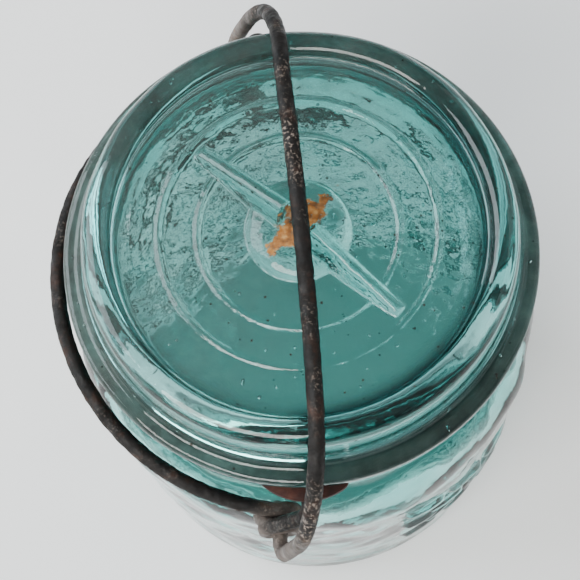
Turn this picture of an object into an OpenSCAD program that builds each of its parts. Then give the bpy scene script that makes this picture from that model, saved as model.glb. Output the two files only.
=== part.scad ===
// Glass-top storage jar with a lever-and-bail wire closure.
// Origin: middle of the base, +Z up. The lever is on the -X side.

/* [Jar] */
// Outside diameter of the straight part of the body
body_d = 89.2; // [87:0.2:90]
// Thickness of the glass in the body wall
wall = 3.2; // [2.6:0.1:3.8]
// Outside diameter of the neck, under the bead
neck_d = 76; // [75:0.5:77]
// Height of the sealing ledge above the base
ledge_h = 110.6; // [104:0.2:124]
// Depth from the ledge down to where the straight body wall begins
shoulder_drop = 30.6; // [29:0.2:33]
// Radius of the shoulder
shoulder_r = 12; // [11:0.5:13]
// Inside diameter of the mouth
mouth_d = 62.4; // [60:0.4:64]
// Height of the lip that stands up inside the rubber ring
lip_h = 3.8; // [3:0.1:4.4]
// Height of the push-up in the middle of the base
push_up = 2.4; // [1:0.2:4]

/* [Ornament] */
// Rows of short raised bars in the ornament panel
bar_rows = 5; // [2:1:6]
// Bars in each row
bars_per_row = 4; // [2:1:5]
// Height of the lowest row above the base
ornament_z = 34; // [24:1:48]
// Direction of the panel's middle, measured from +X
ornament_turn = -42; // [-60:1:-20]

/* [Rubber ring] */
// Thickness of the rubber ring
ring_t = 2; // [1.6:0.1:2.4]
// Outside diameter of the rubber ring
ring_d = 82.2; // [81:0.2:82.6]
// Distance from the jar's axis to the outer edge of the pull tab
tab_reach = 43.4; // [42.6:0.1:43.6]

/* [Lid] */
// Outside diameter of the lid's flange
lid_d = 83; // [82.6:0.1:83.4]
// Thickness of the flange
flange_t = 3.35; // [3:0.05:3.6]
// Height of the raised rim above the flange
rim_h = 10.8; // [10:0.1:11.4]
// Depth of the flat disc below the top of the raised rim
disc_drop = 2; // [1.6:0.1:2.4]
// Height of the two ramps above the disc
ramp_h = 7.5; // [6:0.1:7.5]
// Distance from the lid's axis to the outer tip of a ramp
ramp_reach = 22.4; // [20:0.2:22.8]
// Width of the notch between the two ramps
notch_w = 4.6; // [4:0.1:6]
// How far the lid is turned, measured from +X to the ramps
lid_turn = 134; // [120:1:150]

/* [Wires] */
// Diameter of the wire
wire_d = 2.76; // [2.6:0.02:2.8]
// Play between the lever's pins and their holes, on the radius
pin_play = 0.08; // [0.04:0.01:0.1]
// Half the width of the bail, between the middles of its legs
bail_half_w = 50.2; // [50:0.1:51]
// Height of the bail's crown above the ledge
crown_h = 23.4; // [23.4:0.1:24]
// Depth of the lever's pivot below the ledge
pivot_drop = 3.2; // [3.2:0.1:3.6]
// Depth of the bail's hinge below the ledge
eye_drop = 16.1; // [15.6:0.1:16.4]
// Slope of the lever's hoop
hoop_slope = 14; // [13:0.5:15]

/* [Hidden] */
glass = [0.45, 0.72, 0.68, 0.55];
rust_black = [0.16, 0.14, 0.13];
$fn = 96;

body_r = body_d / 2;
neck_r = neck_d / 2;
mouth_r = mouth_d / 2;
shoulder_z = ledge_h - shoulder_drop;
corner_r = 7;            // bottom corner of the body
bead_r = 40.8;           // bead that carries the sealing ledge
lip_r = 34.4;            // outside of the lip
seat_gap = 0.05;         // between the rubber ring and the lid

wire_r = wire_d / 2;
bend_wire_r = wire_r + 0.03;     // the wire is a hair thicker in its tight bends
pivot = [-3, 0, ledge_h - pivot_drop];
eye = [-9, 0, ledge_h - eye_drop];
crown = [0.5, 0, ledge_h + crown_h];
eye_turn_r = wire_d + 0.33;      // the lever's wire, round the bail's foot
turn_in_y = 42.3;                // inner turn of the lever's eye
turn_out_y = turn_in_y + wire_d + 0.16;
boss_r = 4.2;
boss_y = 42.3;                   // outer face of the glass bosses
pin_tip_y = 38.9;
hole_end_y = 38.6;
pin_bend_r = 2.2;
hoop_r = 42.8;
arch_r = 170;                    // the bail's crown is slightly arched
bail_corner_r = 24;
foot_bend_r = 3;
foot_tip_y = 40.3;               // inner end of the bail's feet

// Points along an arc, from angle a0 to a1
function arc(cx, cy, r, a0, a1, n = 8) =
    [for (i = [0:n]) let (a = a0 + (a1 - a0) * i / n) [cx + r * cos(a), cy + r * sin(a)]];

// One straight piece of wire between two points
module rod(p, q, r = wire_r) {
    d = q - p;
    translate(p)
        rotate([0, acos(d[2] / norm(d)), atan2(d[1], d[0])])
            cylinder(h = norm(d), r = r, $fn = 32);
}

// A bend of wire round centre c: it starts in direction u and turns towards v
module bend(c, u, v, bend_r, turn, r = bend_wire_r) {
    w = cross(u, v);
    multmatrix([[u[0], v[0], w[0], c[0]],
                [u[1], v[1], w[1], c[1]],
                [u[2], v[2], w[2], c[2]],
                [0, 0, 0, 1]])
        rotate_extrude(angle = turn, $fn = 128)
            translate([bend_r, 0]) circle(r = r, $fn = 32);
}

// ---------------------------------------------------------------- jar

module jar_glass() {
    neck_turn = acos((neck_r + 0.6 - body_r + shoulder_r) / shoulder_r);
    inner_r = shoulder_r - wall;
    outside = concat(
        [[0, push_up], [14, push_up * 0.9], [25, push_up * 0.55], [31, push_up * 0.15], [34, 0]],
        arc(body_r - corner_r, corner_r, corner_r, -90, 0),
        arc(body_r - shoulder_r, shoulder_z, shoulder_r, 0, neck_turn, 14),
        [[neck_r + 0.15, ledge_h - 18.6], [neck_r, ledge_h - 17], [neck_r, ledge_h - 7.6]],
        [[39.4, ledge_h - 6.6], [40.4, ledge_h - 5.4], [bead_r, ledge_h - 3.8]],
        arc(bead_r - 1.2, ledge_h - 1.2, 1.2, 0, 90, 5),
        [[lip_r + 0.3, ledge_h], [lip_r, ledge_h + 0.3]]
    );
    lip_top = arc((lip_r + mouth_r) / 2, ledge_h + lip_h - 1.6, (lip_r - mouth_r) / 2, 0, 180, 10);
    inside = concat(
        [[mouth_r, ledge_h - 5], [mouth_r + 1, ledge_h - 8], [neck_r - wall - 0.2, ledge_h - 12.5]],
        arc(body_r - shoulder_r, shoulder_z, inner_r, 76, 0, 14),
        arc(body_r - wall - 6, 13, 6, 0, -90),
        [[20, 7.2], [0, 8]]
    );
    rotate_extrude() polygon(concat(outside, lip_top, inside));
}

// Round glass lug with a blind hole for the end of the lever
module pivot_boss(side) {
    intersection() {
        translate([pivot[0], 0, pivot[2]]) rotate([90 * side, 0, 0])
            translate([0, 0, -boss_y]) cylinder(h = boss_y - 36.6, r = boss_r);
        translate([pivot[0] - 10, -60, ledge_h - 20]) cube([20, 120, 19.9]);
    }
}

module pivot_hole(side) {
    translate([pivot[0], 0, pivot[2]]) rotate([90 * side, 0, 0])
        translate([0, 0, -boss_y - 1])
            cylinder(h = boss_y + 1 - hole_end_y, r = wire_r + pin_play, $fn = 64);
}

// Panel of short raised bars, laid like bricks round the wall
module ornament() {
    pitch = 13;
    bar_turn = 8.5;
    for (row = [0:bar_rows - 1], i = [0:bars_per_row - 1]) {
        start = ornament_turn + (i - bars_per_row / 2 + (row % 2) * 0.5) * pitch;
        translate([0, 0, ornament_z + row * 7])
            rotate([0, 0, start])
                rotate_extrude(angle = bar_turn)
                    translate([body_r - 0.3, 0]) circle(r = 1.1, $fn = 24);
    }
}

module jar() {
    color(glass) difference() {
        union() {
            jar_glass();
            ornament();
            for (side = [-1, 1]) pivot_boss(side);
        }
        for (side = [-1, 1]) pivot_hole(side);
    }
}

// -------------------------------------------------------- rubber ring

module rubber_ring() {
    ring_r = ring_d / 2;
    tab_r = 11.4;
    edge = 0.5;
    color([0.42, 0.16, 0.12]) translate([0, 0, ledge_h]) {
        rotate_extrude()
            polygon([[lip_r + 0.5, 0], [ring_r - edge, 0], [ring_r, edge],
                     [ring_r, ring_t - edge], [ring_r - edge, ring_t], [lip_r + 0.5, ring_t]]);
        linear_extrude(ring_t) difference() {
            translate([-2.4, tab_r - tab_reach]) circle(r = tab_r);
            circle(r = 37);
            translate([4.6, -42.6]) circle(r = 1, $fn = 32);
        }
    }
}

// ---------------------------------------------------------------- lid

module lid_glass() {
    flange_r = lid_d / 2;
    disc_z = flange_t + rim_h - disc_drop;
    crest_r = 34;
    crest_bend = 3;
    under_z = disc_z - 5;
    boss = [[0, disc_z + 2.6], [4.5, disc_z + 2.4], [7.4, disc_z + 1.7],
            [8.5, disc_z + 0.8], [8.9, disc_z]];
    // two thin raised rings on the disc
    rings = [for (r = [17, 23.6], p = [[-0.7, 0], [-0.3, 0.35], [0.3, 0.35], [0.7, 0]])
        [r + p[0], disc_z + p[1]]];
    rim = concat(
        [[30, disc_z], [31, disc_z + 0.3]],
        arc(crest_r, flange_t + rim_h - crest_bend, crest_bend, 138, 0, 12),
        [[37.5, flange_t + 4], [38.1, flange_t + 1], [39, flange_t]],
        arc(flange_r - 1.1, flange_t - 1.1, 1.1, 90, 0, 5),
        [[flange_r, 0.7], [flange_r - 0.3, 0]]
    );
    underside = [[35.2, 0], [35.1, 3.4], [34.4, 6.6], [33, 8.2], [31, 8.5],
                 [29, 7.7], [26, under_z], [0, under_z]];
    rotate_extrude() polygon(concat(boss, rings, rim, underside));
}

// Ramp that rises from its tip to the notch in the middle
module ramp() {
    disc_z = flange_t + rim_h - disc_drop;
    inner = notch_w / 2;
    hull() {
        translate([ramp_reach - 1.1, 0, disc_z - 0.3]) sphere(r = 1.1, $fn = 24);
        translate([inner, -2.6, disc_z - 1]) cube([3, 5.2, 1.4]);
        translate([inner, 0, disc_z + ramp_h - 1.5]) rotate([0, 90, 0])
            cylinder(h = 0.8, r = 1.5, $fn = 24);
    }
}

module lid() {
    color(glass)
        translate([0, 0, ledge_h + ring_t + seat_gap]) rotate([0, 0, lid_turn]) {
            lid_glass();
            for (turn = [0, 180]) rotate([0, 0, turn]) ramp();
        }
}

// -------------------------------------------------------------- lever

// Pin, riser and double-turn eye at one side, drawn with the riser upright.
// The riser comes down on the -X side of the eye.
module lever_end(side) {
    out = [0, side, 0];
    reach = norm(eye - pivot);
    riser_l = sqrt(reach * reach - eye_turn_r * eye_turn_r);
    lean = atan2(pivot[0] - eye[0], pivot[2] - eye[2]) + asin(eye_turn_r / reach);
    pin_end = out * (turn_out_y - pin_bend_r);
    top = out * turn_out_y;
    translate(pivot) rotate([0, lean, 0]) {
        rod(out * pin_tip_y, pin_end);
        bend(pin_end - [0, 0, pin_bend_r], [0, 0, 1], out, pin_bend_r, 90);
        rod(top - [0, 0, pin_bend_r], top - [0, 0, riser_l]);
        // two turns side by side round the bail's foot, joined at the bottom
        translate([eye_turn_r, 0, -riser_l]) {
            for (y = [turn_in_y, turn_out_y])
                bend(out * y, [1, 0, 0], [0, 0, 1], eye_turn_r, 360);
            rod(out * turn_in_y - [0, 0, eye_turn_r], top - [0, 0, eye_turn_r], wire_r - 0.2);
        }
    }
}

// Flat hoop round the -X side, from one eye to the other
module hoop() {
    half_turn = asin(turn_in_y / hoop_r);
    away = [-cos(hoop_slope), 0, sin(hoop_slope)];
    across = [0, 1, 0];
    centre = eye + [0, 0, eye_turn_r] - away * hoop_r * cos(half_turn);
    bend(centre,
         away * cos(half_turn) - across * sin(half_turn),
         away * sin(half_turn) + across * cos(half_turn),
         hoop_r, 2 * half_turn, wire_r);
}

module lever() {
    color(rust_black) {
        hoop();
        for (side = [-1, 1]) lever_end(side);
    }
}

// --------------------------------------------------------------- bail

// The whole bail lies in one plane. It is drawn upright, with its hinge at
// the origin, and then leans from the hinge to the crown.
module bail() {
    reach = crown - eye;
    rise = norm(reach);
    up = [0, 0, 1];
    across = [0, 1, 0];
    corner_y = bail_half_w - bail_corner_r;
    corner_turn = asin(corner_y / (arch_r - bail_corner_r));
    corner_z = rise - arch_r + (arch_r - bail_corner_r) * cos(corner_turn);
    color(rust_black) translate(eye) rotate([0, atan2(reach[0], reach[2]), 0]) {
        bend(up * (rise - arch_r),
             up * cos(corner_turn) - across * sin(corner_turn),
             up * sin(corner_turn) + across * cos(corner_turn),
             arch_r, 2 * corner_turn, wire_r);
        for (side = [-1, 1]) {
            out = across * side;
            leg = out * bail_half_w;
            foot_end = out * (bail_half_w - foot_bend_r);
            bend(out * corner_y + up * corner_z, out, up, bail_corner_r, 90 - corner_turn);
            rod(leg + up * foot_bend_r, leg + up * corner_z);
            bend(foot_end + up * foot_bend_r, out, -up, foot_bend_r, 90);
            rod(out * foot_tip_y, foot_end);
        }
    }
}

jar();
rubber_ring();
lid();
lever();
bail();
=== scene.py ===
import math

import bmesh
import bpy
import numpy as np
from mathutils import Matrix, Vector


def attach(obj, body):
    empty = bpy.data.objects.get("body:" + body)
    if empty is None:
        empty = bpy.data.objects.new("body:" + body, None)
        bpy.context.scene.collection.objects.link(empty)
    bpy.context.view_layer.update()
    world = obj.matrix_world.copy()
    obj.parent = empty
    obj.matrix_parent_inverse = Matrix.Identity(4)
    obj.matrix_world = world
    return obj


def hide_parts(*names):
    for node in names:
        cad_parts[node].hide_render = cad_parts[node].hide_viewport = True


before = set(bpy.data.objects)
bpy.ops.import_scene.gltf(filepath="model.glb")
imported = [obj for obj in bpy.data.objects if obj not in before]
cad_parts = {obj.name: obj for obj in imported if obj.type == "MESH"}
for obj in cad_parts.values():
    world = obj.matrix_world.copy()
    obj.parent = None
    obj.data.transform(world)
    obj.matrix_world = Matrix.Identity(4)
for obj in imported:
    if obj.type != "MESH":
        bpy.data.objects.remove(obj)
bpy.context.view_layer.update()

MM = 0.001
TAU = 2 * math.pi

# Sizes below are in millimetres, in the CAD frame: +Z up, base at 0.
LEDGE = 110.6
LID_BASE = 112.65
DISC_Z = LID_BASE + 12.15
PIVOT = np.array([-3.0, 0.0, 107.4])
EYE = np.array([-9.0, 0.0, 94.5])
CROWN = np.array([0.5, 0.0, 134.0])
WIRE_R = 1.38
EYE_TURN_R = 3.09
TURN_IN_Y = 42.3
TURN_OUT_Y = 45.22


# ------------------------------------------------------------ helpers

def waves(p, length, seed, count=16):
    """A smooth random field at points p, about -2 to 2, with waves of that length in mm."""
    rng = np.random.default_rng(seed)
    out = np.zeros(len(p))
    for _ in range(count):
        d = rng.normal(size=3)
        d /= np.linalg.norm(d)
        k = TAU / (length * rng.uniform(0.7, 1.5))
        out += np.sin(p @ (d * k) + rng.uniform(0, TAU))
    return out / math.sqrt(count / 2)


def smoothstep(x, lo, hi):
    t = np.clip((x - lo) / (hi - lo), 0, 1)
    return t * t * (3 - 2 * t)


def rounded(points, rounds=2):
    """Corner-cut polyline that keeps its two ends."""
    p = np.array(points, float)
    for _ in range(rounds):
        q = p[:-1] * 0.75 + p[1:] * 0.25
        r = p[:-1] * 0.25 + p[1:] * 0.75
        mid = np.empty((2 * len(q), p.shape[1]))
        mid[0::2] = q
        mid[1::2] = r
        p = np.vstack([p[:1], mid, p[-1:]])
    return p


def resampled(points, step):
    p = np.array(points, float)
    d = np.concatenate([[0], np.cumsum(np.linalg.norm(np.diff(p, axis=0), axis=1))])
    keep = np.concatenate([[True], np.diff(d) > 1e-6])
    p, d = p[keep], d[keep]
    n = max(2, int(round(d[-1] / step)) + 1)
    s = np.linspace(0, d[-1], n)
    return np.column_stack([np.interp(s, d, p[:, i]) for i in range(p.shape[1])])


def arc(cx, cy, r, a0, a1, n=10):
    a = np.radians(np.linspace(a0, a1, n + 1))
    return [(cx + r * math.cos(t), cy + r * math.sin(t)) for t in a]


def mesh_object(name, verts, faces, body):
    me = bpy.data.meshes.new(name)
    me.from_pydata((np.asarray(verts) * MM).tolist(), [], faces)
    me.validate()
    me.shade_smooth()
    ob = bpy.data.objects.new(name, me)
    bpy.context.scene.collection.objects.link(ob)
    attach(ob, body)
    return ob


def lathe(profile, segments):
    """Grid of points for a profile that starts and ends on the axis: (rows, segments, 3)."""
    p = np.asarray(profile)[1:-1]
    a = np.arange(segments) * TAU / segments
    grid = np.empty((len(p), segments, 3))
    grid[:, :, 0] = p[:, :1] * np.cos(a)
    grid[:, :, 1] = p[:, :1] * np.sin(a)
    grid[:, :, 2] = p[:, 1:2]
    return grid


def lathe_mesh(grid, start, end):
    """Vertices and faces of a lathe grid closed with a point at each end."""
    rows, seg = grid.shape[:2]
    verts = np.vstack([grid.reshape(-1, 3), [start], [end]])
    faces = []
    for i in range(rows - 1):
        a, b = i * seg, (i + 1) * seg
        for j in range(seg):
            k = (j + 1) % seg
            faces.append((a + j, a + k, b + k, b + j))
    first, last = rows * seg, rows * seg + 1
    top = (rows - 1) * seg
    for j in range(seg):
        k = (j + 1) % seg
        faces.append((first, k, j))
        faces.append((last, top + j, top + k))
    return verts, faces


def bubble(centre, size, stretch, rng, verts, faces, turns=8, rows=5):
    """Adds a small closed bubble, with its faces turned inwards, to a glass mesh."""
    base = len(verts)
    axis = rng.normal(size=3)
    axis /= np.linalg.norm(axis)
    pts = [np.array([0, 0, -1.0])]
    for i in range(1, rows):
        t = math.pi * i / rows - math.pi / 2
        for j in range(turns):
            a = TAU * j / turns
            pts.append(np.array([math.cos(t) * math.cos(a), math.cos(t) * math.sin(a), math.sin(t)]))
    pts.append(np.array([0, 0, 1.0]))
    for q in pts:
        q = q * size
        verts.append(centre + q + axis * (q @ axis) * stretch)
    for j in range(turns):
        k = (j + 1) % turns
        faces.append((base, base + 1 + j, base + 1 + k))
        for i in range(rows - 2):
            a = base + 1 + i * turns
            b = a + turns
            faces.append((a + j, b + j, b + k, a + k))
        a = base + 1 + (rows - 2) * turns
        faces.append((a + j, base + len(pts) - 1, a + k))


# ---------------------------------------------------------- materials

GLASS_IOR = 1.5
RIM_SHADE_TEAL = (0.016, 0.13, 0.14, 1)        # painted shade: dark teal put on the rim's inner flank in place of dim surroundings seen through it
# positions of the colour sockets on a Mix node
MIX_COLOUR_A, MIX_COLOUR_B, MIX_COLOUR_OUT = 6, 7, 2


def material(name):
    m = bpy.data.materials.new(name)
    m.use_nodes = True
    nt = m.node_tree
    nt.nodes.clear()
    out = nt.nodes.new("ShaderNodeOutputMaterial")
    return m, nt, out


def node(nt, kind, **values):
    n = nt.nodes.new(kind)
    for key, value in values.items():
        setattr(n, key, value)
    return n


def feed(nt, value, socket):
    """Links a socket to another node's output, or sets its value."""
    if isinstance(value, bpy.types.NodeSocket):
        nt.links.new(value, socket)
    else:
        socket.default_value = value


def noise(nt, coord, scale, detail, rough):
    n = node(nt, "ShaderNodeTexNoise")
    n.inputs["Scale"].default_value = scale
    n.inputs["Detail"].default_value = detail
    n.inputs["Roughness"].default_value = rough
    nt.links.new(coord, n.inputs["Vector"])
    return n.outputs["Fac"]


def ramp(nt, src, stops):
    r = node(nt, "ShaderNodeValToRGB")
    el = r.color_ramp.elements
    el[0].position, el[0].color = stops[0][0], stops[0][1]
    el[1].position, el[1].color = stops[-1][0], stops[-1][1]
    for pos, col in stops[1:-1]:
        e = el.new(pos)
        e.color = col
    nt.links.new(src, r.inputs["Fac"])
    return r.outputs["Color"]


def grey(v):
    return (v, v, v, 1)


def math_node(nt, op, *values):
    n = node(nt, "ShaderNodeMath", operation=op)
    for value, socket in zip(values, n.inputs):
        feed(nt, value, socket)
    return n.outputs[0]


def times(nt, a, b):
    return math_node(nt, "MULTIPLY", a, b)


def map_range(nt, value, from_min, from_max, to_min=0.0, to_max=1.0):
    n = node(nt, "ShaderNodeMapRange")
    nt.links.new(value, n.inputs["Value"])
    n.inputs["From Min"].default_value = from_min
    n.inputs["From Max"].default_value = from_max
    n.inputs["To Min"].default_value = to_min
    n.inputs["To Max"].default_value = to_max
    return n.outputs["Result"]


def mix_colour(nt, factor, colour_a, colour_b):
    """The first colour where the factor is 0, the second where it is 1."""
    n = node(nt, "ShaderNodeMix", data_type="RGBA")
    nt.links.new(factor, n.inputs["Factor"])
    feed(nt, colour_a, n.inputs[MIX_COLOUR_A])
    feed(nt, colour_b, n.inputs[MIX_COLOUR_B])
    return n.outputs[MIX_COLOUR_OUT]


def add_bump(nt, shader, height, strength, distance):
    n = node(nt, "ShaderNodeBump")
    n.inputs["Strength"].default_value = strength
    n.inputs["Distance"].default_value = distance
    nt.links.new(height, n.inputs["Height"])
    nt.links.new(n.outputs["Normal"], shader.inputs["Normal"])


def split_xyz(nt, vector):
    n = node(nt, "ShaderNodeSeparateXYZ")
    nt.links.new(vector, n.inputs["Vector"])
    return n.outputs


def glass_material(name, tint, absorb, density, wave_scale, wave_height,
                   stain=None, band=None, roughness=0.015):
    m, nt, out = material(name)
    coord = node(nt, "ShaderNodeTexCoord").outputs["Object"]
    p = node(nt, "ShaderNodeBsdfPrincipled")
    p.inputs["Base Color"].default_value = tint
    p.inputs["Roughness"].default_value = roughness
    p.inputs["IOR"].default_value = GLASS_IOR
    p.inputs["Transmission Weight"].default_value = 1.0
    broad = noise(nt, coord, wave_scale, 2.0, 0.45)
    fine = noise(nt, coord, wave_scale * 4.5, 2.0, 0.5)
    height = math_node(nt, "ADD", broad, times(nt, fine, 0.16))
    if band:
        # smoother round the rim than on the disc
        calm = map_range(nt, radius_of(nt, coord)[0], 0.0285, 0.0310, 1.0, 0.22)
        height = times(nt, height, calm)
        # painted shade: the base colour turns dark teal round the rim's inner flank
        nt.links.new(mix_colour(nt, band(nt, coord), tint, RIM_SHADE_TEAL), p.inputs["Base Color"])
    add_bump(nt, p, height, 1.0, wave_height)
    surface = p.outputs["BSDF"]
    if stain:
        mask, colour = stain(nt, coord)
        d = node(nt, "ShaderNodeBsdfDiffuse")
        nt.links.new(colour, d.inputs["Color"])
        mix = node(nt, "ShaderNodeMixShader")
        nt.links.new(mask, mix.inputs[0])
        nt.links.new(surface, mix.inputs[1])
        nt.links.new(d.outputs["BSDF"], mix.inputs[2])
        surface = mix.outputs["Shader"]
    nt.links.new(surface, out.inputs["Surface"])
    v = node(nt, "ShaderNodeVolumeAbsorption")
    v.inputs["Color"].default_value = absorb
    v.inputs["Density"].default_value = density
    nt.links.new(v.outputs["Volume"], out.inputs["Volume"])
    return m


def radius_of(nt, coord):
    """Distance from the Z axis, and the X, Y and Z outputs."""
    place = split_xyz(nt, coord)
    x2 = times(nt, place["X"], place["X"])
    y2 = times(nt, place["Y"], place["Y"])
    return math_node(nt, "SQRT", math_node(nt, "ADD", x2, y2)), place


def lid_rim_shade(nt, coord):
    """Painted shade: darker teal painted round the inner flank of the rim, most on the +X, -Y side,
    where the surroundings are dimmer.
    """
    band_r, band_width, falloff_base = 0.0318, 0.0021, 2.718
    rad, (x, y, z) = radius_of(nt, coord)
    off = math_node(nt, "DIVIDE", math_node(nt, "SUBTRACT", rad, band_r), band_width)
    ring_mask = math_node(nt, "POWER", falloff_base, times(nt, times(nt, off, off), -1.0))
    # the painted shade is heaviest on the +X, -Y side, towards the dimmer surroundings
    lean = math_node(nt, "SUBTRACT", times(nt, x, 0.85), times(nt, y, 0.5))
    side = map_range(nt, lean, -0.034, 0.018, 0.30, 1.0)
    high = math_node(nt, "GREATER_THAN", z, (LID_BASE + 3.0) * MM)
    streak = ramp(nt, noise(nt, coord, 55, 2.0, 0.5), [(0.35, grey(0.55)), (0.6, grey(1))])
    return times(nt, times(nt, times(nt, ring_mask, side), streak), high)


def speck_mask(nt, coord, scale, size, offset, keep):
    """Sparse small dots: near the cells' middles, and only in some cells."""
    shift = node(nt, "ShaderNodeMapping")
    shift.inputs["Location"].default_value = (offset, offset * 0.7, 0)
    nt.links.new(coord, shift.inputs["Vector"])
    v = node(nt, "ShaderNodeTexVoronoi")
    v.inputs["Scale"].default_value = scale
    v.inputs["Randomness"].default_value = 1.0
    nt.links.new(shift.outputs["Vector"], v.inputs["Vector"])
    near = ramp(nt, v.outputs["Distance"], [(0.0, grey(1)), (size * 0.6, grey(1)), (size, grey(0))])
    sep = node(nt, "ShaderNodeSeparateColor")
    nt.links.new(v.outputs["Color"], sep.inputs["Color"])
    chosen = math_node(nt, "LESS_THAN", sep.outputs[0], keep)
    return times(nt, near, chosen)


def lid_stain(nt, coord):
    """Rust left by the bail in the notch between the ramps, and dark specks on the top."""
    turned = node(nt, "ShaderNodeMapping")
    turned.inputs["Rotation"].default_value = (0, 0, math.radians(-44))
    nt.links.new(coord, turned.inputs["Vector"])
    along, cross, up = split_xyz(nt, turned.outputs["Vector"])
    # the rust fades outwards from an oval
    oval_middle, oval_half_long, oval_half_wide = 0.0008, 0.0085, 0.0031
    a = math_node(nt, "DIVIDE", math_node(nt, "SUBTRACT", along, oval_middle), oval_half_long)
    c = math_node(nt, "DIVIDE", cross, oval_half_wide)
    far = math_node(nt, "ADD", times(nt, a, a), times(nt, c, c))
    patch = noise(nt, coord, 420, 4.0, 0.65)
    edge = math_node(nt, "SUBTRACT", math_node(nt, "ADD", patch, 0.22), times(nt, far, 0.33))
    rust = ramp(nt, edge, [(0.48, grey(0)), (0.57, grey(0.88))])
    top = math_node(nt, "GREATER_THAN", up, (DISC_Z - 0.5) * MM)
    rust = times(nt, rust, top)
    specks = speck_mask(nt, coord, 330, 0.11, 0.013, 0.22)
    fine = speck_mask(nt, coord, 620, 0.15, 0.031, 0.16)
    above = math_node(nt, "GREATER_THAN", up, (LID_BASE + 2.4) * MM)
    dots = times(nt, math_node(nt, "MAXIMUM", specks, fine), above)
    # a thin dusty film, mostly on the -X, +Y half
    far_side = math_node(nt, "SUBTRACT", times(nt, cross, 0.95), times(nt, along, 0.1))
    film_side = map_range(nt, far_side, -0.014, 0.012)
    cloud = ramp(nt, noise(nt, coord, 190, 5.0, 0.65), [(0.3, grey(0.08)), (0.7, grey(0.30))])
    film = times(nt, times(nt, film_side, cloud), above)
    marks = math_node(nt, "MAXIMUM", rust, times(nt, dots, 0.8))
    mask = math_node(nt, "MAXIMUM", marks, film)
    dark_speck = (0.045, 0.030, 0.022, 1)
    pale_dust = (0.13, 0.14, 0.13, 1)
    orange = ramp(nt, noise(nt, coord, 700, 3.0, 0.6),
                  [(0.3, (0.07, 0.024, 0.008, 1)), (0.5, (0.32, 0.11, 0.02, 1)),
                   (0.7, (0.52, 0.28, 0.09, 1))])
    mark_colour = mix_colour(nt, math_node(nt, "GREATER_THAN", rust, 0.05), dark_speck, orange)
    is_mark = math_node(nt, "GREATER_THAN", marks, 0.05)
    return mask, mix_colour(nt, is_mark, pale_dust, mark_colour)


def wire_material(name, dust_below, fade, fleck):
    """Rusted iron wire: near-black, with brown rust, pale worn flecks, and dust low down."""
    m, nt, out = material(name)
    coord = node(nt, "ShaderNodeTexCoord").outputs["Object"]
    p = node(nt, "ShaderNodeBsdfPrincipled")
    base = ramp(nt, noise(nt, coord, 260, 5.0, 0.65),
                [(0.34, (0.003, 0.003, 0.003, 1)), (0.55, (0.007, 0.005, 0.004, 1)),
                 (0.68, (0.028, 0.012, 0.007, 1)), (0.82, (0.12, 0.046, 0.018, 1))])
    flecks = ramp(nt, noise(nt, coord, 1700, 4.0, 0.7), [(0.54, grey(0)), (0.62, grey(1))])
    patchy = ramp(nt, noise(nt, coord, 70, 2.0, 0.5), [(0.50, grey(0.0)), (0.66, grey(fleck))])
    worn_metal = (0.36, 0.29, 0.24, 1)
    iron = mix_colour(nt, times(nt, flecks, patchy), base, worn_metal)
    low = map_range(nt, split_xyz(nt, coord)["Z"], (dust_below + fade) * MM, dust_below * MM)
    grain = ramp(nt, noise(nt, coord, 480, 4.0, 0.6), [(0.3, grey(0.35)), (0.7, grey(1))])
    dusty = ramp(nt, noise(nt, coord, 150, 3.0, 0.6),
                 [(0.35, (0.13, 0.105, 0.092, 1)), (0.6, (0.185, 0.155, 0.135, 1)),
                  (0.75, (0.26, 0.12, 0.045, 1))])
    nt.links.new(mix_colour(nt, times(nt, low, grain), iron, dusty), p.inputs["Base Color"])
    p.inputs["Specular IOR Level"].default_value = 0.28
    rough = ramp(nt, noise(nt, coord, 350, 3.0, 0.6), [(0.35, grey(0.42)), (0.65, grey(0.8))])
    nt.links.new(rough, p.inputs["Roughness"])
    add_bump(nt, p, noise(nt, coord, 620, 6.0, 0.7), 0.8, 0.00035)
    nt.links.new(p.outputs["BSDF"], out.inputs["Surface"])
    return m


def rubber_material(name):
    m, nt, out = material(name)
    coord = node(nt, "ShaderNodeTexCoord").outputs["Object"]
    p = node(nt, "ShaderNodeBsdfPrincipled")
    red = ramp(nt, noise(nt, coord, 240, 5.0, 0.6),
               [(0.3, (0.012, 0.004, 0.003, 1)), (0.55, (0.032, 0.008, 0.005, 1)),
                (0.78, (0.07, 0.022, 0.012, 1))])
    # under the lid the ring is greyer, with a chalky bloom
    rad, place = radius_of(nt, coord)
    inner = map_range(nt, rad, 0.0412, 0.0409)
    chalk = ramp(nt, noise(nt, coord, 120, 4.0, 0.6),
                 [(0.3, (0.10, 0.11, 0.10, 1)), (0.5, (0.26, 0.28, 0.26, 1)),
                  (0.7, (0.48, 0.52, 0.49, 1))])
    # the bloom is thinner on the tab's side
    lean = math_node(nt, "SUBTRACT", times(nt, place["X"], 0.6), times(nt, place["Y"], 0.8))
    bloom = times(nt, inner, map_range(nt, lean, 0.038, 0.0, to_min=0.25))
    nt.links.new(mix_colour(nt, bloom, red, chalk), p.inputs["Base Color"])
    p.inputs["Roughness"].default_value = 0.62
    p.inputs["Specular IOR Level"].default_value = 0.2
    add_bump(nt, p, noise(nt, coord, 800, 4.0, 0.6), 0.6, 0.0002)
    nt.links.new(p.outputs["BSDF"], out.inputs["Surface"])
    return m


AQUA = (0.12, 0.74, 0.73, 1)
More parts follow.
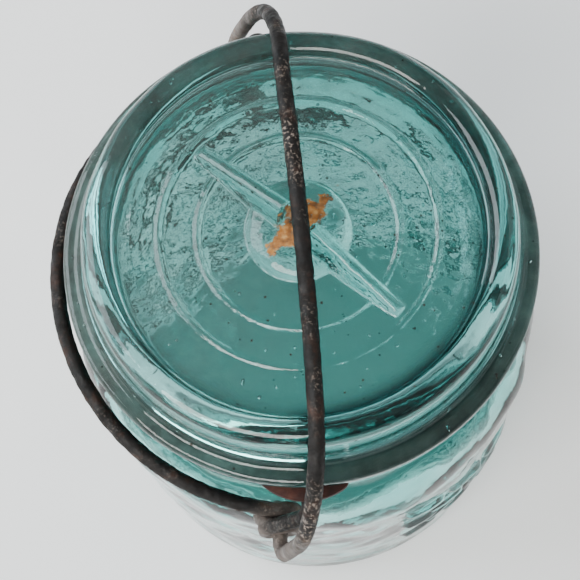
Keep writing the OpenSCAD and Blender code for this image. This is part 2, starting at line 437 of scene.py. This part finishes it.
# the lid's glass has painted shade round the rim's inner flank
LID_GLASS = glass_material("lid_glass", (0.78, 0.90, 0.88, 1), AQUA, density=100.0, wave_scale=150.0,
                           wave_height=0.0006, stain=lid_stain, band=lid_rim_shade, roughness=0.045)
JAR_GLASS = glass_material("jar_glass", (0.70, 0.88, 0.85, 1), AQUA, density=125.0, wave_scale=75.0,
                           wave_height=0.0006)
WIRE_BAIL = wire_material("bail_wire", dust_below=106, fade=12, fleck=0.75)
WIRE_LEVER = wire_material("lever_wire", dust_below=97, fade=3, fleck=0.25)
RUBBER = rubber_material("old_rubber")

# ----------------------------------------------------------------- jar

BODY_R = 44.6
NECK_R = 38.0
BEAD_R = 40.8
SHOULDER_Z = LEDGE - 30.6
SHOULDER_R = 12.0
WALL = 3.2
PUSH_UP = 2.4
CORNER_R = 7
BOSS_FACE = 42.3
BOSS_ROOT = 37.2
BOSS_R = 4.2
BOSS_EDGE = 0.6
HOLE_END = 38.6
HOLE_PLAY = 0.08
CUT_PAST = 44.0             # the hole's cutter reaches past the boss
SEGMENTS = 384
SEAMS_DEG = (20, 200)
JAR_BUBBLES = 46

BAR_ROWS = 5
BARS_PER_ROW = 4
BAR_PITCH_DEG = 13
BAR_HALF_DEG = 4.25
ROW_PITCH = 7
ORNAMENT_Z = 34
ORNAMENT_TURN_DEG = -42
BAR_RAISE = 1.05
BAR_SOFT = 1.15


def jar_profile():
    turn = math.degrees(math.acos((NECK_R + 0.6 - BODY_R + SHOULDER_R) / SHOULDER_R))
    outside = [(0, PUSH_UP), (14, 2.16), (25, 1.3), (31, 0.4), (34, 0.0)]
    outside += arc(BODY_R - CORNER_R, CORNER_R, CORNER_R, -90, 0, 12)
    outside += arc(BODY_R - SHOULDER_R, SHOULDER_Z, SHOULDER_R, 0, turn, 16)
    outside += [(38.15, LEDGE - 18.6), (NECK_R, LEDGE - 17), (NECK_R, LEDGE - 7.6),
                (39.4, LEDGE - 6.6), (40.4, LEDGE - 5.4), (BEAD_R, LEDGE - 3.8)]
    outside += arc(BEAD_R - 1.2, LEDGE - 1.2, 1.2, 0, 90, 6)
    outside += [(34.8, LEDGE), (34.4, LEDGE + 0.4)]
    lip = arc(32.8, LEDGE + 2.2, 1.6, 0, 180, 10)
    inside = [(31.2, LEDGE - 5), (32.2, LEDGE - 8), (34.6, LEDGE - 12.5)]
    inside += arc(BODY_R - SHOULDER_R, SHOULDER_Z, SHOULDER_R - WALL, 76, 0, 16)
    inside += arc(BODY_R - WALL - 6, 13, 6, 0, -90, 8)
    inside += [(20, 7.2), (0, 8)]
    return np.array(outside), np.array(lip + inside)


def ornament_height(theta, z):
    """Rows of short raised bars, laid like bricks."""
    out = np.zeros(theta.shape)
    half = math.radians(BAR_HALF_DEG)
    for row in range(BAR_ROWS):
        for i in range(BARS_PER_ROW):
            start = ORNAMENT_TURN_DEG + (i - 2 + (row % 2) * 0.5) * BAR_PITCH_DEG
            mid = math.radians(start + BAR_HALF_DEG)
            d = (theta - mid + math.pi) % TAU - math.pi
            along = np.maximum(np.abs(d) - half, 0) * BODY_R
            dz = z - (ORNAMENT_Z + row * ROW_PITCH)
            out = np.maximum(out, BAR_RAISE * np.exp(-((along ** 2 + dz ** 2) / BAR_SOFT ** 2) ** 1.6))
    return out


def build_jar():
    outside, inside = jar_profile()
    out_path = resampled(rounded(outside, 1), 0.75)
    in_path = resampled(rounded(inside, 1), 1.1)
    path = np.vstack([out_path, in_path])
    n_out = len(out_path)
    grid = lathe(path, SEGMENTS)
    rows = grid.shape[0]
    flat = grid.reshape(-1, 3)
    theta = np.arctan2(flat[:, 1], flat[:, 0])
    r = np.hypot(flat[:, 0], flat[:, 1])
    z = flat[:, 2]
    row = np.repeat(np.arange(rows), SEGMENTS)
    is_out = row < n_out - 1
    wall = is_out & (r > 30)
    body = smoothstep(z, 4, 14) * (1 - smoothstep(z, 92, 97))
    push = np.where(wall, 0.22 * waves(flat, 19, 3) + 0.08 * waves(flat, 8, 4), 0) * body
    push += np.where(wall, ornament_height(theta, z), 0)
    # two faint mould seams
    for seam in np.radians(SEAMS_DEG):
        d = np.abs((theta - seam + math.pi) % TAU - math.pi) * r
        push += np.where(wall, 0.16 * np.exp(-(d / 0.5) ** 2), 0) * body
    inner = (0.30 * waves(flat, 26, 7) + 0.12 * waves(flat, 10, 8)) * (1 - smoothstep(z, 74, 94))
    push += np.where(~is_out, inner, 0)
    floor_in = ~is_out & (r < 30) & (z < 20)
    flat[:, 2] += np.where(floor_in, 0.35 * waves(flat, 17, 9), 0)
    scale = np.where(r > 1, 1 + push / np.maximum(r, 1), 1)
    flat[:, 0] *= scale
    flat[:, 1] *= scale
    verts, faces = lathe_mesh(grid, (0, 0, path[0][1]), (0, 0, path[-1][1]))
    verts = list(verts)
    rng = np.random.default_rng(21)
    for _ in range(JAR_BUBBLES):
        a, zz = rng.uniform(0, TAU), rng.uniform(22, 78)
        rad = BODY_R - WALL / 2
        c = np.array([rad * math.cos(a), rad * math.sin(a), zz])
        bubble(c, rng.uniform(0.16, 0.42), rng.uniform(0.1, 0.9), rng, verts, faces)
    return mesh_object("jar_body", verts, faces, "jar")


def cylinder_tool(name, y0, y1, radius, sides=64, edge=0.0):
    """A round cutter or lug along Y at the pivot, with its outer edge rounded by edge."""
    prof = [(0, y0), (radius, y0), (radius, y1 - edge * math.copysign(1, y1))]
    if edge:
        for t in np.linspace(0, math.pi / 2, 5)[1:]:
            prof.append((radius - edge + edge * math.cos(t),
                         y1 - math.copysign(edge, y1) * (1 - math.sin(t))))
    else:
        prof.append((radius, y1))
    prof.append((0, y1))
    g = lathe(prof, sides)
    v, f = lathe_mesh(g, (0, 0, prof[0][1]), (0, 0, prof[-1][1]))
    v = np.column_stack([v[:, 0] + PIVOT[0], v[:, 2], v[:, 1] + PIVOT[2]])
    me = bpy.data.meshes.new(name)
    me.from_pydata((v * MM).tolist(), [], f)
    ob = bpy.data.objects.new(name, me)
    bpy.context.scene.collection.objects.link(ob)
    bm = bmesh.new()
    bm.from_mesh(me)
    bmesh.ops.recalc_face_normals(bm, faces=bm.faces)
    bm.to_mesh(me)
    bm.free()
    return ob


def apply_boolean(ob, tool, operation):
    mod = ob.modifiers.new("cut", "BOOLEAN")
    mod.operation = operation
    mod.solver = "EXACT"
    mod.object = tool
    deps = bpy.context.evaluated_depsgraph_get()
    new = bpy.data.meshes.new_from_object(ob.evaluated_get(deps))
    ob.modifiers.clear()
    ob.data = new
    bpy.data.objects.remove(tool)


jar = build_jar()
for side in (-1, 1):
    lug = cylinder_tool("lug", side * BOSS_ROOT, side * BOSS_FACE, BOSS_R, edge=BOSS_EDGE)
    apply_boolean(jar, lug, "UNION")
for side in (-1, 1):
    hole = cylinder_tool("hole", side * HOLE_END, side * CUT_PAST, WIRE_R + HOLE_PLAY)
    apply_boolean(jar, hole, "DIFFERENCE")
jar.data.shade_smooth()
jar.data.materials.clear()
jar.data.materials.append(JAR_GLASS)
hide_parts("jar")

# ----------------------------------------------------------------- lid

LID_R = 41.5
FLANGE_T = 3.35
RIM_H = 14.15
RING_RADII = (17.0, 23.6)
RING_RAISE = 0.42
RING_SOFT = 0.5
LID_BOSS_R = 8.9
LID_BOSS_H = 2.6
RAMP_TURN_DEG = 134
RAMP_START, RAMP_REACH = 2.3, 22.4
RAMP_H, RAMP_END_H = 7.5, 0.7
RAMP_HALF_W, RAMP_TAPER = 2.75, 1.5
BLEND = 0.35                # how softly the ramps meet the boss
DISC_R = 29.8
DISC_BUBBLES, FLANGE_BUBBLES = 60, 40


def lid_top(x, y):
    """Height of the rings, boss and ramps above the disc."""
    r = np.hypot(x, y)
    h = np.zeros(r.shape)
    for ring in RING_RADII:
        h = np.maximum(h, RING_RAISE * np.exp(-((r - ring) / RING_SOFT) ** 2))
    boss = LID_BOSS_H * np.sqrt(np.clip(1 - (r / LID_BOSS_R) ** 2.6, 0, 1))
    a = math.radians(RAMP_TURN_DEG)
    along = x * math.cos(a) + y * math.sin(a)
    across = -x * math.sin(a) + y * math.cos(a)
    s = np.abs(along)
    t = np.clip((s - RAMP_START) / (RAMP_REACH - RAMP_START), 0, 1)
    peak = RAMP_H + (RAMP_END_H - RAMP_H) * t
    peak = peak * np.sqrt(np.clip(1 - np.clip((s - 21.2) / 1.2, 0, 1) ** 2, 0, 1))
    half = RAMP_HALF_W - RAMP_TAPER * t
    v = np.clip(np.abs(across) / half, 0, 1)
    blade = peak * (1 - v ** 2.3) ** 0.75
    blade *= smoothstep(s, 1.9, 2.9)
    k = BLEND
    joined = k * np.logaddexp(boss / k, blade / k) - k * math.log(2) * np.exp(-(boss + blade) / k)
    return np.maximum(h, joined)


def lid_profile():
    boss = [(0, DISC_Z)]
    disc = [(r, DISC_Z) for r in np.arange(0.35, DISC_R, 0.32)]
    # steep on the inside, rounder on the outside
    crest_r, inner_r, outer_r = 34, 2.2, 3
    crest = arc(crest_r, LID_BASE + RIM_H - inner_r, inner_r, 172, 90, 12)
    crest += arc(crest_r, LID_BASE + RIM_H - outer_r, outer_r, 90, 0, 12)[1:]
    side = [(37.5, LID_BASE + 7.35), (38.1, LID_BASE + 4.4), (39.0, LID_BASE + 3.4)]
    edge_r = 1.1
    rim = arc(LID_R - edge_r, LID_BASE + FLANGE_T - edge_r, edge_r, 90, 0, 6)
    rim += [(LID_R, LID_BASE + 0.8), (41.2, LID_BASE)]
    rest = rounded([disc[-1], (31.2, DISC_Z), (31.65, DISC_Z + 0.12)] + crest + side + rim, 1)
    under = rounded([(41.2, LID_BASE), (35.2, LID_BASE), (35.1, LID_BASE + 3.4),
                     (34.4, LID_BASE + 6.6), (33, LID_BASE + 8.2), (31, LID_BASE + 8.5),
                     (29, LID_BASE + 7.9), (26, LID_BASE + 7.15), (0, LID_BASE + 7.15)], 2)
    top = np.vstack([boss, disc[:-1], resampled(rest, 0.42)])
    return top, resampled(under, 0.6)


def build_lid():
    top, under = lid_profile()
    path = np.vstack([top, under[1:]])
    n_top = len(top)
    grid = lathe(path, SEGMENTS)
    flat = grid.reshape(-1, 3)
    r = np.hypot(flat[:, 0], flat[:, 1])
    row = np.repeat(np.arange(grid.shape[0]), SEGMENTS)
    is_top = row < n_top - 1
    disc = is_top & (r < 29.5)
    low = ~is_top & (r < 33)
    rough = 0.02 * waves(flat, 9, 31) + 0.008 * waves(flat, 4, 32)
    hammered = 0.07 * waves(flat, 11, 33) + 0.028 * waves(flat, 4.5, 34)
    raised = lid_top(flat[:, 0], flat[:, 1]) + rough * (1 - smoothstep(r, 27, 29.5))
    flat[:, 2] += np.where(disc, raised, 0)
    flat[:, 2] += np.where(low, hammered * (1 - smoothstep(r, 24, 29)), 0)
    ledge = is_top & (r > 36)
    flat[:, 2] += np.where(ledge, 0.05 * waves(flat, 13, 37) * (1 - smoothstep(r, 40.4, 41.4)), 0)
    rim = is_top & (r > 30)
    swell = np.where(rim, 0.10 * waves(flat, 40, 35) + 0.012 * waves(flat, 12, 36), 0)
    swell *= 1 - smoothstep(r, 40, 41.4)
    flat[:, 0] *= 1 + swell / np.maximum(r, 1)
    flat[:, 1] *= 1 + swell / np.maximum(r, 1)
    verts, faces = lathe_mesh(grid, (0, 0, DISC_Z + LID_BOSS_H), (0, 0, path[-1][1]))
    faces = [tuple(reversed(f)) for f in faces]
    verts = list(verts)
    rng = np.random.default_rng(5)
    for _ in range(DISC_BUBBLES):
        a, rad = rng.uniform(0, TAU), 29 * math.sqrt(rng.uniform(0, 1))
        c = np.array([rad * math.cos(a), rad * math.sin(a), rng.uniform(DISC_Z - 4.0, DISC_Z - 0.8)])
        bubble(c, rng.uniform(0.12, 0.34), rng.uniform(0.0, 1.2), rng, verts, faces)
    for _ in range(FLANGE_BUBBLES):
        a, rad = rng.uniform(0, TAU), rng.uniform(36.6, 40.4)
        c = np.array([rad * math.cos(a), rad * math.sin(a), rng.uniform(LID_BASE + 0.8, LID_BASE + 2.6)])
        bubble(c, rng.uniform(0.12, 0.30), rng.uniform(0.0, 1.2), rng, verts, faces)
    ob = mesh_object("lid_glass_piece", verts, faces, "lid")
    ob.data.materials.append(LID_GLASS)
    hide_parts("lid")


build_lid()

# --------------------------------------------------------- rubber ring

RUBBER_OUTER_R = 41.1
RUBBER_INNER_R = 34.9
RUBBER_T = 2.0
RUBBER_EDGE = 0.35
TAB_CENTRE = (-2.4, -32.0)
TAB_R = 11.4
NICK_AT = (4.9, -42.6)
NICK_DEPTH = 0.95
NICK_HALF_DEG = 0.9


def build_ring():
    seg = 360
    theta = np.arange(seg) * TAU / seg
    outer = np.full(seg, RUBBER_OUTER_R)
    cx, cy = TAB_CENTRE
    # outer edge of the tab's circle along each direction
    ux, uy = np.cos(theta), np.sin(theta)
    b = ux * cx + uy * cy
    disc = b * b - (cx * cx + cy * cy - TAB_R * TAB_R)
    reach = np.where((disc > 0) & (b > 0), b + np.sqrt(np.maximum(disc, 0)), 0)
    outer = np.maximum(outer, reach)
    # a torn nick at the right end of the tab
    d = np.degrees(np.abs((theta - math.atan2(NICK_AT[1], NICK_AT[0]) + math.pi) % TAU - math.pi))
    outer -= NICK_DEPTH * np.exp(-(d / NICK_HALF_DEG) ** 2)
    t, e = RUBBER_T, RUBBER_EDGE
    # radius or offset from the outer edge, height, and whether it follows the outer edge
    sect = [(RUBBER_INNER_R, 0.0, 0), (-1.6, 0.0, 1), (-e, 0.0, 1), (-0.08, 0.1, 1), (0.0, e, 1),
            (0.0, t - e, 1), (-0.08, t - 0.1, 1), (-e, t, 1), (-1.6, t, 1), (RUBBER_INNER_R, t, 0)]
    verts, faces = [], []
    for off, z, edge in sect:
        rad = outer + off if edge else np.full(seg, off)
        sag = -0.25 * smoothstep(rad, 41.2, 43.4) if edge else np.zeros(seg)
        verts.extend(np.column_stack([rad * ux, rad * uy, LEDGE + z + sag]))
    n = len(sect)
    for i in range(n):
        a, b2 = i * seg, ((i + 1) % n) * seg
        for j in range(seg):
            k = (j + 1) % seg
            faces.append((a + j, a + k, b2 + k, b2 + j))
    ob = mesh_object("sealing_ring", verts, faces, "jar")
    ob.data.materials.append(RUBBER)
    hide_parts("rubber_ring")


build_ring()

# --------------------------------------------------------------- wires

END_ROUND = 0.8
PIN_TIP_Y = 38.9
PIN_BEND_R = 2.2
HOOP_R = 42.8
HOOP_SLOPE_DEG = 14
FOOT_TIP_Y = 40.3
FOOT_BEND_R = 3.0
BAIL_HALF_W = 50.2
ARCH_R = 170.0
BAIL_CORNER_R = 24.0
LEG_LEAN_Y, LEG_LEAN_X = 3.4, 0.9
LINE_STEP, LINE_EASE = 0.3, 1.5
MIRROR = np.array([1, -1, 1])


def sweep(name, path, body, mat, seed, sides=28, step=0.42):
    """A round wire along a path, with rounded ends and a pitted, slightly uneven skin."""
    p = resampled(path, step)
    n = len(p)
    tan = np.gradient(p, axis=0)
    tan /= np.linalg.norm(tan, axis=1)[:, None]
    up = np.array([0.3, 0.1, 1.0])
    side = np.cross(tan[0], up)
    side /= np.linalg.norm(side)
    frames = []
    for i in range(n):
        side = side - tan[i] * (side @ tan[i])
        side /= np.linalg.norm(side)
        frames.append((side, np.cross(tan[i], side)))
    dist = np.concatenate([[0], np.cumsum(np.linalg.norm(np.diff(p, axis=0), axis=1))])
    end = np.minimum(dist, dist[-1] - dist)
    radius = WIRE_R * np.sqrt(np.clip(1 - (1 - np.clip(end / END_ROUND, 0.06, 1)) ** 2, 0, 1))
    a = np.arange(sides) * TAU / sides
    verts = np.empty((n, sides, 3))
    for i, (s, u) in enumerate(frames):
        ring_pts = np.outer(np.cos(a), s) + np.outer(np.sin(a), u)
        verts[i] = p[i] + ring_pts * radius[i]
    flat = verts.reshape(-1, 3)
    centre = np.repeat(p, sides, axis=0)
    dirs = flat - centre
    rough = 0.022 * waves(flat, 2.2, seed) + 0.016 * waves(flat, 1.1, seed + 1)
    pits = -0.05 * np.clip(waves(flat, 3.4, seed + 2) - 1.1, 0, 1)
    flat = centre + dirs * (1 + np.clip(rough + pits, -0.08, 0.035))[:, None]
    verts = list(flat) + [p[0], p[-1]]
    faces = []
    for i in range(n - 1):
        for j in range(sides):
            k = (j + 1) % sides
            faces.append((i * sides + j, i * sides + k, (i + 1) * sides + k, (i + 1) * sides + j))
    last = (n - 1) * sides
    for j in range(sides):
        k = (j + 1) % sides
        faces.append((n * sides, k, j))
        faces.append((n * sides + 1, last + j, last + k))
    ob = mesh_object(name, verts, faces, body)
    ob.data.materials.append(mat)
    return ob


def arc3(centre, u, v, r, a0, a1, n=40):
    a = np.radians(np.linspace(a0, a1, n + 1))
    return [centre + r * (u * math.cos(t) + v * math.sin(t)) for t in a]


def smoothed(path, step, width):
    """Path resampled and eased over a short length, with its ends kept."""
    p = resampled(path, step)
    k = int(width / step) | 1
    w = np.hanning(k + 2)[1:-1]
    w /= w.sum()
    pad = np.vstack([np.repeat(p[:1], k // 2, axis=0), p, np.repeat(p[-1:], k // 2, axis=0)])
    out = np.column_stack([np.convolve(pad[:, i], w, mode="valid") for i in range(3)])
    out[0], out[-1] = p[0], p[-1]
    return out


X, Y, Z = np.eye(3)


def lever_path():
    """From the pin in the -Y boss to the far point of the hoop."""
    out = -Y
    reach = np.linalg.norm(EYE - PIVOT)
    riser = math.sqrt(reach ** 2 - EYE_TURN_R ** 2)
    lean = math.atan2(PIVOT[0] - EYE[0], PIVOT[2] - EYE[2]) + math.asin(EYE_TURN_R / reach)
    down = np.array([-math.sin(lean), 0, -math.cos(lean)])
    bend = PIN_BEND_R
    pts = [PIVOT + out * PIN_TIP_Y, PIVOT + out * (TURN_OUT_Y - bend)]
    pts += arc3(PIVOT + out * (TURN_OUT_Y - bend) + down * bend, -down, out, bend, 0, 90, 10)[1:]
    pts.append(PIVOT + down * riser + out * TURN_OUT_Y)
    # one and three quarter turns: down, round the bottom, up the +X side and over the top
    start = 180 + math.degrees(lean)
    end = 360 + 360 + 90
    turns = np.linspace(start, end, 150)
    whole = (turns - start) / 360
    y = TURN_OUT_Y + (TURN_IN_Y - TURN_OUT_Y) * smoothstep(whole, 0.66, 0.98)
    for t, yy in zip(np.radians(turns), y):
        c = EYE + out * yy
        pts.append(c + EYE_TURN_R * (X * math.cos(t) + Z * math.sin(t)))
    slope = math.radians(HOOP_SLOPE_DEG)
    away = np.array([-math.cos(slope), 0, math.sin(slope)])
    half = math.degrees(math.asin(TURN_IN_Y / HOOP_R))
    centre = EYE + Z * EYE_TURN_R - away * HOOP_R * math.cos(math.radians(half))
    # the -Y half of the hoop, from the eye to its far point
    pts += arc3(centre, away, out, HOOP_R, half - 3, 0, 90)
    return pts


def mirrored(half):
    """A path that ends on the XZ plane, followed by its mirror image, and eased."""
    return smoothed(half + [p * MIRROR for p in reversed(half[:-1])], LINE_STEP, LINE_EASE)


lever = sweep("lever_wire", mirrored(lever_path()), "lever", WIRE_LEVER, 51)
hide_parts("lever")


def bail_path():
    """From the foot on the -Y side to the crown."""
    reach = CROWN - EYE
    rise = np.linalg.norm(reach)
    up = reach / rise
    out = -Y
    w, arch_r, corner_r, foot = BAIL_HALF_W, ARCH_R, BAIL_CORNER_R, FOOT_BEND_R
    corner_y = w - corner_r
    turn = math.degrees(math.asin(corner_y / (arch_r - corner_r)))
    corner_z = rise - arch_r + (arch_r - corner_r) * math.cos(math.radians(turn))
    pts = [EYE + out * FOOT_TIP_Y, EYE + out * (w - foot)]
    pts += arc3(EYE + out * (w - foot) + up * foot, -up, out, foot, 0, 90, 12)[1:]
    pts.append(EYE + out * w + up * corner_z)
    pts += arc3(EYE + out * corner_y + up * corner_z, out, up, corner_r, 0, 90 - turn, 40)[1:]
    pts += arc3(EYE + up * (rise - arch_r), up, out, arch_r, turn, 0, 30)[1:]
    return pts


bail_line = mirrored(bail_path())
# the far leg is bent in a little towards the crown, as on a wire shaped by hand
inward = smoothstep(bail_line[:, 2], 95, 120) * smoothstep(bail_line[:, 1], 22, 46)
bail_line[:, 1] -= LEG_LEAN_Y * inward
bail_line[:, 0] += LEG_LEAN_X * inward
bail = sweep("bail_wire", bail_line, "bail", WIRE_BAIL, 71)
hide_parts("bail")

# -------------------------------------------------------------- studio

# metres
FLOOR_Z = -0.0002
FLOOR_HALF = 12.0
FLOOR_GRID = 61
FLOOR_RISE = 2.2
RISE_FROM, RISE_TO = 3.0, 9.0
LIT_POINT = (0, 0, 0.12)


def build_floor():
    """Flat round the object, and curving up far away, so that no horizon shows in low views."""
    n = FLOOR_GRID
    xs = np.linspace(-FLOOR_HALF, FLOOR_HALF, n)
    verts = [(x, y, FLOOR_Z + FLOOR_RISE * float(smoothstep(math.hypot(x, y), RISE_FROM, RISE_TO)))
             for y in xs for x in xs]
    faces = [(j * n + i, j * n + i + 1, (j + 1) * n + i + 1, (j + 1) * n + i)
             for j in range(n - 1) for i in range(n - 1)]
    me = bpy.data.meshes.new("floor")
    me.from_pydata(verts, [], faces)
    me.shade_smooth()
    ob = bpy.data.objects.new("floor", me)
    bpy.context.scene.collection.objects.link(ob)
    m, nt, out = material("floor_paper")
    p = node(nt, "ShaderNodeBsdfPrincipled")
    coord = node(nt, "ShaderNodeTexCoord").outputs["Object"]
    col = ramp(nt, noise(nt, coord, 30, 3.0, 0.5),
               [(0.3, (0.90, 0.90, 0.90, 1)), (0.7, (0.93, 0.93, 0.925, 1))])
    nt.links.new(col, p.inputs["Base Color"])
    p.inputs["Roughness"].default_value = 0.9
    p.inputs["Emission Color"].default_value = (1, 1, 1, 1)
    p.inputs["Emission Strength"].default_value = 0.2
    nt.links.new(p.outputs["BSDF"], out.inputs["Surface"])
    me.materials.append(m)


def area_light(name, position, size, power, colour=(1, 1, 1)):
    light = bpy.data.lights.new(name, "AREA")
    light.shape = "RECTANGLE"
    light.size, light.size_y = size
    light.energy = power
    light.color = colour
    ob = bpy.data.objects.new(name, light)
    ob.location = position
    ob.rotation_euler = (Vector(LIT_POINT) - Vector(position)).to_track_quat("-Z", "Y").to_euler()
    bpy.context.scene.collection.objects.link(ob)


build_floor()
world = bpy.data.worlds.new("studio")
world.use_nodes = True
wt = world.node_tree
sky = node(wt, "ShaderNodeTexCoord").outputs["Generated"]
sky_place = split_xyz(wt, sky)
# brighter overhead and to the left, dimmer near the horizon
level = math_node(wt, "ADD", sky_place["Z"], times(wt, sky_place["X"], -0.30))
sky_col = ramp(wt, level, [(0.0, (0.20, 0.23, 0.25, 1)), (0.25, (0.34, 0.38, 0.40, 1)),
                           (0.65, (0.98, 0.99, 1.0, 1))])
background = wt.nodes["Background"]
wt.links.new(sky_col, background.inputs["Color"])
background.inputs["Strength"].default_value = 0.40
bpy.context.scene.world = world
area_light("left_window", (-0.80, 0.28, 0.72), (0.85, 0.75), 14.0, (0.86, 0.94, 1.0))
area_light("near_left", (-0.42, -0.62, 0.88), (0.85, 0.45), 15.0, (1.0, 0.98, 0.94))
area_light("right_fill", (0.85, 0.30, 0.60), (1.2, 0.8), 2.5)

# -------------------------------------------------------------- camera

cam_data = bpy.data.cameras.new("camera")
cam_data.sensor_width = 36.0
cam_data.lens = 86.9
cam_data.clip_start = 0.01
camera = bpy.data.objects.new("camera", cam_data)
right = Vector((0.99446, -0.09728, -0.03974)).normalized()
forward = Vector((-0.01038, 0.28538, -0.95836)).normalized()
up_dir = right.cross(forward).normalized()
right = forward.cross(up_dir)
rot = Matrix((right, up_dir, -forward)).transposed().to_4x4()
camera.matrix_world = Matrix.Translation((0.0, -0.0763, 0.34671)) @ rot
bpy.context.scene.collection.objects.link(camera)
bpy.context.scene.camera = camera
